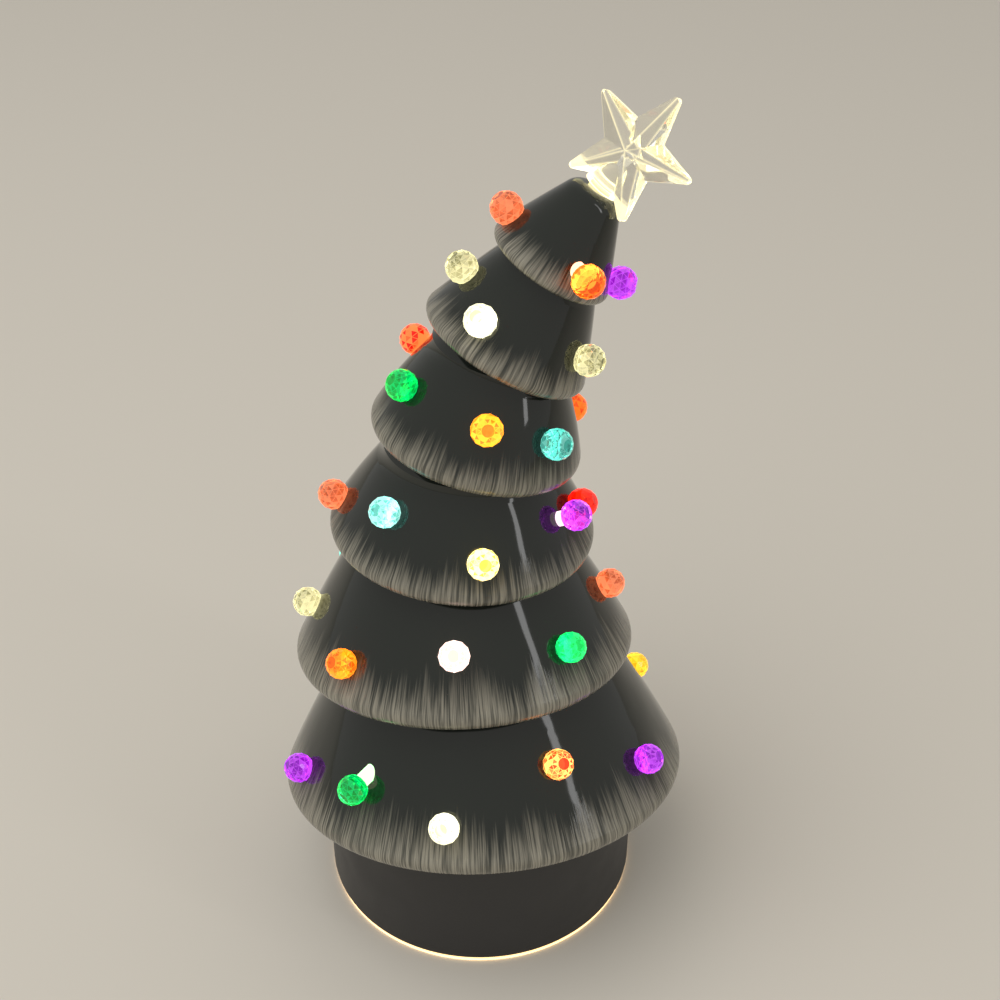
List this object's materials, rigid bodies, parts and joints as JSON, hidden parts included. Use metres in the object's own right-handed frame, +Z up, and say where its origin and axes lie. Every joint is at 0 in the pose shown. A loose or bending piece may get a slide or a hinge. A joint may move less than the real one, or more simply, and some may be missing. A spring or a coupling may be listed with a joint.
{
  "type": "ceramic christmas tree",
  "caption": "Leaning tiered ceramic Christmas tree with push-in coloured bulbs and a clear star, lit from inside by a battery lamp in its round base.",
  "frame": {"origin": "centre of the ring that the light tray stands on, at table height", "axes": "+Z up from the table, +X the way the top of the tree leans, -Y the front"},
  "size_m": [0.1388, 0.1406, 0.2864],
  "materials": {
    "tree_glaze": "glossy black-green glaze, tier edges dry-brushed grey-white",
    "base_glaze": "satin dark glaze",
    "star_clear": "clear faceted plastic, lit pale yellow from its stem",
    "milky_plastic": "milky plastic that lets warm light through",
    "gasket_foam": "matt closed-cell foam",
    "box_plastic": "matt white",
    "steel": "nickel-plated",
    "cell_jacket": "plain shrink-wrapped jacket",
    "switch_black": "matt black",
    "lead_sleeve": "smooth wire sleeve",
    "board_white": "white solder mask",
    "post_aluminium": "plain extruded",
    "led_lens": "clear lens, warm white",
    "bulb_purple": "faceted translucent plastic, lit from its peg",
    "bulb_green": "faceted translucent plastic, lit from its peg",
    "bulb_white": "faceted translucent plastic, lit from its peg",
    "bulb_red": "faceted translucent plastic, lit from its peg",
    "bulb_yellow": "faceted translucent plastic, lit from its peg",
    "bulb_teal": "faceted translucent plastic, lit from its peg",
    "bulb_coral": "faceted translucent plastic, lit from its peg",
    "bulb_orange": "faceted translucent plastic, lit from its peg",
    "bulb_pink": "faceted translucent plastic, lit from its peg"
  },
  "bodies": {
    "light_unit": {"light_tray": "milky_plastic", "tray_gasket": "gasket_foam", "battery_box": "box_plastic", "box_screws": "steel", "battery_contacts": "steel", "contact_springs": "steel", "cell_1": "cell_jacket", "cell_2": "cell_jacket", "cell_3": "cell_jacket", "switch_body": "switch_black", "switch_leads": "lead_sleeve", "lamp_board": "board_white", "board_leds": "led_lens", "lamp_post": "post_aluminium", "led_strips": "board_white", "strip_leds": "led_lens", "top_led": "led_lens"},
    "tree": {"tree_body": "tree_glaze", "base_drum": "base_glaze", "bulbs_purple": "bulb_purple", "bulbs_green": "bulb_green", "bulbs_white": "bulb_white", "bulbs_red": "bulb_red", "bulbs_yellow": "bulb_yellow", "bulbs_teal": "bulb_teal", "bulbs_coral": "bulb_coral", "bulbs_orange": "bulb_orange", "bulbs_pink": "bulb_pink"},
    "star": {"star_topper": "star_clear"},
    "door": {"battery_door": "milky_plastic"},
    "switch": {"switch_knob": "switch_black"}
  },
  "joints": [
    {"name": "tree_lift", "type": "slide", "parent": "light_unit", "child": "tree", "axis": [0, 0, 1], "range_m": [0, 0.18]},
    {"name": "star_pull", "type": "slide", "parent": "tree", "child": "star", "axis": [0.6225, 0, 0.7826], "range_m": [0, 0.016]},
    {"name": "door_hinge", "type": "hinge", "parent": "light_unit", "child": "door", "pos_m": [-0.02845, 0, 0.0015], "axis": [0, 1, 0], "range_deg": [0, 90]},
    {"name": "switch_slide", "type": "slide", "parent": "light_unit", "child": "switch", "axis": [1, 0, 0], "range_m": [0, 0.004]}
  ]
}
